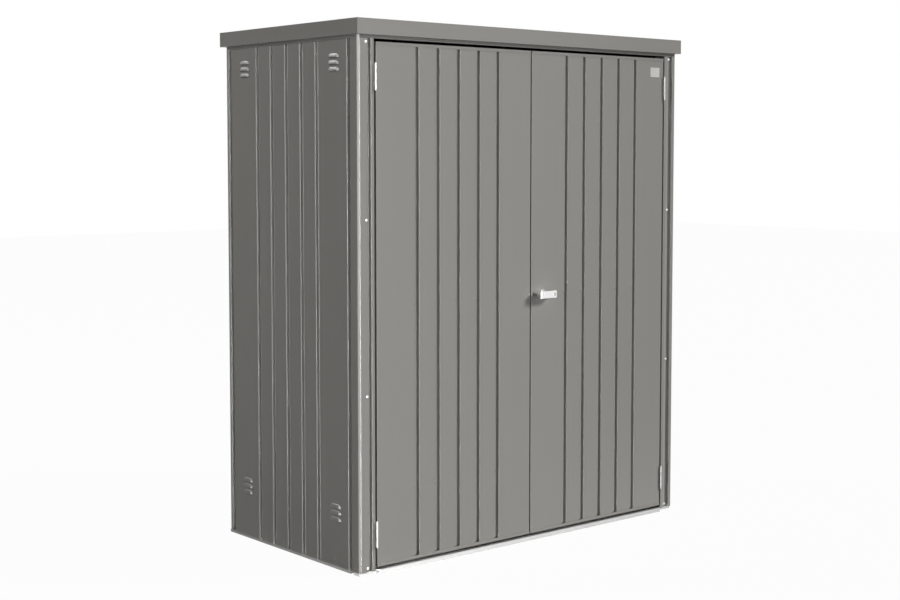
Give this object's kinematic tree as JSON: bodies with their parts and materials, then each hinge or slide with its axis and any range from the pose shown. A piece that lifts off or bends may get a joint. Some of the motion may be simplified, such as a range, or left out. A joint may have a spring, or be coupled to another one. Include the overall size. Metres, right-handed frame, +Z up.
{
  "type": "garden cabinet",
  "caption": "Tall ribbed sheet-metal garden cabinet with a flat roof cap, hinged double doors, a turning handle that drives locking rods, wall louvres and inner shelves.",
  "frame": {"origin": "centre of the bounding box at the underside of the base", "axes": "+X to the right seen from the front, +Y from the doors to the back, +Z up"},
  "size_m": [1.55, 0.854, 1.825],
  "materials": {
    "painted_steel": "satin metallic grey coating",
    "aluminium_profile": "natural anodised",
    "galvanised_steel": "matt zinc coating",
    "stainless_steel": "brushed",
    "satin_chrome": "satin",
    "nickel_plating": "turned and plated"
  },
  "bodies": {
    "cabinet": {"front_left_post": "painted_steel", "front_right_post": "painted_steel", "rear_left_post": "painted_steel", "rear_right_post": "painted_steel", "left_side_wall": "painted_steel", "right_side_wall": "painted_steel", "left_rear_wall": "painted_steel", "right_rear_wall": "painted_steel", "header_rail": "painted_steel", "rear_top_rail": "painted_steel", "left_top_rail": "painted_steel", "right_top_rail": "painted_steel", "roof_cap": "painted_steel", "front_base_rail": "aluminium_profile", "rear_base_rail": "aluminium_profile", "left_base_rail": "aluminium_profile", "right_base_rail": "aluminium_profile", "threshold": "aluminium_profile", "floor_panel": "galvanised_steel", "roof_stiffener": "galvanised_steel", "left_shelf_upright": "galvanised_steel", "middle_shelf_upright": "galvanised_steel", "right_shelf_upright": "galvanised_steel", "lower_left_shelf_bracket": "galvanised_steel", "lower_middle_shelf_bracket": "galvanised_steel", "lower_right_shelf_bracket": "galvanised_steel", "upper_left_shelf_bracket": "galvanised_steel", "upper_middle_shelf_bracket": "galvanised_steel", "upper_right_shelf_bracket": "galvanised_steel", "lower_shelf": "galvanised_steel", "upper_shelf": "galvanised_steel", "left_upper_hinge_frame_leaf": "stainless_steel", "left_upper_hinge_pin": "stainless_steel", "left_lower_hinge_frame_leaf": "stainless_steel", "left_lower_hinge_pin": "stainless_steel", "right_upper_hinge_frame_leaf": "stainless_steel", "right_upper_hinge_pin": "stainless_steel", "right_lower_hinge_frame_leaf": "stainless_steel", "right_lower_hinge_pin": "stainless_steel"},
    "left_door": {"left_door_skin": "painted_steel", "left_door_upper_crossbar": "galvanised_steel", "left_door_middle_crossbar": "galvanised_steel", "left_door_lower_crossbar": "galvanised_steel", "left_upper_hinge_door_leaf": "stainless_steel", "left_lower_hinge_door_leaf": "stainless_steel"},
    "right_door": {"right_door_skin": "painted_steel", "right_door_upper_crossbar": "galvanised_steel", "right_door_middle_crossbar": "galvanised_steel", "right_door_lower_crossbar": "galvanised_steel", "right_upper_hinge_door_leaf": "stainless_steel", "right_lower_hinge_door_leaf": "stainless_steel", "handle_rose": "satin_chrome", "lock_case": "galvanised_steel"},
    "handle": {"handle_lever": "satin_chrome", "spindle_pinion": "stainless_steel"},
    "key_barrel": {"lock_barrel": "nickel_plating"},
    "upper_rod": {"upper_lock_rod": "stainless_steel"},
    "lower_rod": {"lower_lock_rod": "stainless_steel"},
    "upper_bolt": {"upper_slide_bolt": "stainless_steel"},
    "lower_bolt": {"lower_slide_bolt": "stainless_steel"}
  },
  "joints": [
    {"name": "left_door_hinge", "type": "hinge", "parent": "cabinet", "child": "left_door", "pos_m": [-0.6941, -0.394, 0.888], "axis": [0, 0, -1], "range_deg": [0, 110]},
    {"name": "right_door_hinge", "type": "hinge", "parent": "cabinet", "child": "right_door", "pos_m": [0.6941, -0.394, 0.888], "axis": [0, 0, 1], "range_deg": [0, 110]},
    {"name": "handle_turn", "type": "hinge", "parent": "right_door", "child": "handle", "pos_m": [0.057, -0.4, 0.888], "axis": [0, 1, 0], "range_deg": [0, 90]},
    {"name": "key_turn", "type": "hinge", "parent": "handle", "child": "key_barrel", "pos_m": [0.084, -0.414, 0.888], "axis": [0, 1, 0], "range_deg": [0, 90]},
    {"name": "upper_rod_slide", "type": "slide", "parent": "right_door", "child": "upper_rod", "axis": [0, 0, 1], "range_m": [0, 0.01885]},
    {"name": "lower_rod_slide", "type": "slide", "parent": "right_door", "child": "lower_rod", "axis": [0, 0, -1], "range_m": [0, 0.01885]},
    {"name": "upper_bolt_slide", "type": "slide", "parent": "left_door", "child": "upper_bolt", "axis": [0, 0, 1], "range_m": [0, 0.018]},
    {"name": "lower_bolt_slide", "type": "slide", "parent": "left_door", "child": "lower_bolt", "axis": [0, 0, -1], "range_m": [0, 0.018]}
  ],
  "couplings": [
    {"joint": "upper_rod_slide", "follows": "handle_turn", "m_per_rad": 0.012},
    {"joint": "lower_rod_slide", "follows": "handle_turn", "m_per_rad": 0.012}
  ]
}
